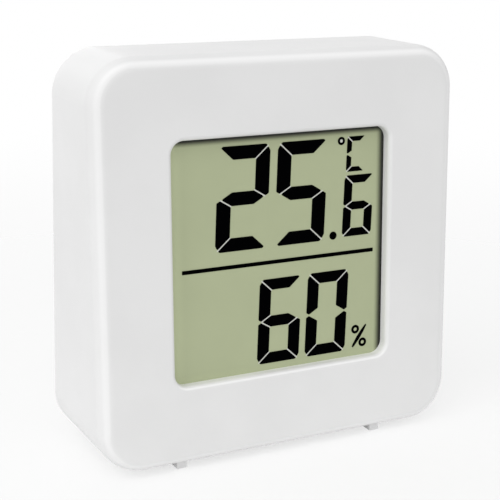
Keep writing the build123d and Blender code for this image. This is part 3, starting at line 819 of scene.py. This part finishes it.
def addThread(work, look, length, place):  # the thread running down from the head, both ends closed
    steps = threadSteps
    turns = int((length - look["point"]) / look["pitch"]) - 1
    start = length - look["pitch"] / 2
    roots, crests = [], []
    for k in range(turns * steps + 1):
        height = start - look["pitch"] * k / steps
        roots.append(pointAt(work, look["root"], k, steps, height, place))
        crests.append(pointAt(work, look["shank"], k, steps, height - look["pitch"] / 2, place))
    upper = ring(work, look["root"], length + threadOverlap, place, steps)
    tip = work.verts.new(place @ Vector((0, 0, 0)))
    count = len(roots)
    for k in range(count - 1):
        work.faces.new((roots[k], roots[k + 1], crests[k + 1], crests[k]))
        if k + steps + 1 < count:
            work.faces.new((crests[k], crests[k + 1], roots[k + steps + 1], roots[k + steps]))
    for k in range(steps):
        work.faces.new((upper[k], upper[(k + 1) % steps], roots[k + 1], roots[k]))
    work.faces.new((upper[0], roots[steps], crests[0], roots[0]))
    last = count - 1
    for k in range(last - steps, last):
        work.faces.new((crests[k], crests[k + 1], tip))
    work.faces.new((crests[last - steps], tip, crests[last], roots[last]))
    work.faces.new(upper)


def crossCutter(place, height):
    work = bmesh.new()
    levels = []
    footReach = cross["reach"] * cross["footReachShare"]
    footWidth = cross["width"] * cross["footWidthShare"]
    mouth = (cross["reach"], cross["width"], height + cross["above"])
    foot = (footReach, footWidth, height - cross["depth"])
    for a, b, level in (mouth, foot):
        arm = [(a, -b), (a, b), (b, b)]
        star = arm + [(-v, u) for u, v in arm] + [(-u, -v) for u, v in arm] + [(v, -u) for u, v in arm]
        levels.append([work.verts.new(place @ (Vector((u, v, level)) * mm)) for u, v in star])
    upper, lower = levels
    for k, corner in enumerate(upper):
        after = (k + 1) % len(upper)
        work.faces.new((corner, upper[after], lower[after], lower[k]))
    work.faces.new(upper)
    work.faces.new(list(reversed(lower)))
    return asMesh("crossCutter", work)


def screwHead(look, place):  # the head with its cross cut into it
    work = bmesh.new()
    r, h = look["head"], look["headHeight"]
    skirt = headShape["skirtShare"] * h
    top = (1 - headShape["skirtShare"]) * h
    profile = [(0, 0), (look["shank"], 0), (r - headShape["rimIn"], 0), (r, headShape["rimUp"]), (r, skirt)]
    for angle in map(radians, headShape["crownAngles"]):
        profile.append((r * cos(angle) ** headShape["crown"], skirt + top * sin(angle)))
    profile.append((0, h))
    addLathe(work, profile, place, headShape["steps"])
    head = bpy.data.objects.new("screwHead", asMesh("screwHead", work))
    cutter = bpy.data.objects.new("crossCutter", crossCutter(place, h))
    for one in (head, cutter):
        bpy.context.scene.collection.objects.link(one)
    cut = head.modifiers.new("cross", "BOOLEAN")
    cut.object = cutter
    cut.solver = "EXACT"
    bpy.context.view_layer.update()
    made = bpy.data.meshes.new_from_object(head.evaluated_get(bpy.context.evaluated_depsgraph_get()))
    for one in (head, cutter):
        bpy.data.objects.remove(one)
    return made


for node, look in screwLooks.items():
    work = bmesh.new()
    axis = look["axis"].normalized()
    for count, (place, low, high, side) in enumerate(screwSpots(node, axis)):
        spin = Matrix.Rotation(headTurns["first"] + headTurns["next"] * count, 4, "Z")
        upright = Matrix((side.cross(axis), side, axis)).transposed().to_4x4() @ spin
        seat = high - look["headHeight"] * mm
        work.from_mesh(screwHead(look, Matrix.Translation(place + axis * seat) @ upright))
        addThread(work, look, (seat - low) / mm, Matrix.Translation(place + axis * low) @ upright)
    piece = newPiece(look["piece"], work, finishes["screw_steel"])
    piece.data.shade_smooth()
    piece.data.set_sharp_from_angle(angle=sharpAngle)
    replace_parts(piece, node)
print("screws")


# stage

rayKinds = ("Camera", "Glossy", "Transmission")
studio = {
    "floorHalf": 1.2,
    "floorTones": {"dark": (0.965, 0.965, 0.965), "pale": (0.975, 0.975, 0.975)},
    "floorGrain": 4 * mm,
    "floorRough": 0.9,
    "floorGloss": 0.1,
    "fade": (0.05, 0.22),  # where the floor starts to thin out and where it ends, from the middle
    "seenShare": 0.32,  # how much of the floor's own shade the camera sees over the white behind it
    "skyStrength": 0.60,
    "aim": Vector((0, 0, 0.02)),
    "lamps": {
        "keyLamp": {"place": (-0.56, -0.40, 0.70), "size": 0.90, "power": 4.6},
        "rearLamp": {"place": (0.05, 0.90, 0.10), "size": 0.50, "power": 1.2},
    },
}


def seenDirectly(shade):  # 1 for what the camera sees, also in gloss or through glass
    camera, glossy, through = [shade.node("LightPath", out="Is " + kind + " Ray") for kind in rayKinds]
    return camera.larger(glossy).larger(through)


def floorFinish():
    tones = studio["floorTones"]
    gloss = studio["floorGloss"]
    material, shade = newMaterial("floor", tones["pale"], studio["floorRough"], Specular_IOR_Level=gloss)
    material.surface_render_method = "BLENDED"
    place = spot(shade)
    distance = place.node("VectorMath", {"operation": "LENGTH"}, {0: place}, 1)
    solid = 1.0 - (1.0 - studio["seenShare"]) * seenDirectly(shade)
    feed(material, Alpha=solid * (1.0 - distance.ramp(*studio["fade"])))
    feed(material, Base_Color=twoTone(grain(shade, studio["floorGrain"]), tones))
    return material


work = bmesh.new()
half = studio["floorHalf"]
floorCorners = ((-half, -half), (half, -half), (half, half), (-half, half))
work.faces.new([work.verts.new((x, y, 0)) for x, y in floorCorners])
mesh = asMesh("floor", work)
mesh.materials.append(floorFinish())
floor = bpy.data.objects.new("floor", mesh)
bpy.context.scene.collection.objects.link(floor)

world = bpy.data.worlds.new("studioSky")
bpy.context.scene.world = world
world.use_nodes = True
sky = Shade(world.node_tree)
light = sky.node("Background", {}, {"Color": rgb(1, 1, 1), "Strength": studio["skyStrength"]})
white = sky.node("Background", {}, {"Color": rgb(1, 1, 1), "Strength": 1.0})
both = sky.node("MixShader", {}, {0: seenDirectly(sky), 1: light, 2: white})
world.node_tree.links.new(both.socket, world.node_tree.nodes["World Output"].inputs["Surface"])

for name, lamp in studio["lamps"].items():
    data = bpy.data.lights.new(name, "AREA")
    data.shape = "SQUARE"
    data.size = lamp["size"]
    data.energy = lamp["power"]
    holder = bpy.data.objects.new(name, data)
    bpy.context.scene.collection.objects.link(holder)
    holder.location = lamp["place"]
    holder.rotation_euler = (studio["aim"] - holder.location).to_track_quat("-Z", "Y").to_euler()
print("stage and lamps")


# camera: its place in millimetres, its turns in degrees and its focal length in pixels of the photograph

view = {"place": (-67.03, -127.07, 61.14), "yaw": 27.51, "pitch": 15.16, "roll": 0.87, "pixels": 1276.0}
imageSide = 500
cameraData = bpy.data.cameras.new("camera")
cameraData.sensor_width = 36.0
cameraData.lens = view["pixels"] / imageSide * cameraData.sensor_width
cameraData.clip_start = 10 * mm
camera = bpy.data.objects.new("camera", cameraData)
bpy.context.scene.collection.objects.link(camera)
turn = Matrix.Rotation(radians(-view["yaw"]), 4, "Z")
tilt = Matrix.Rotation(radians(90 - view["pitch"]), 4, "X")
roll = Matrix.Rotation(radians(view["roll"]), 4, "Z")
camera.matrix_world = Matrix.Translation(Vector(view["place"]) * mm) @ turn @ tilt @ roll
bpy.context.scene.camera = camera
bpy.context.scene.view_settings.view_transform = "Standard"
print("camera")
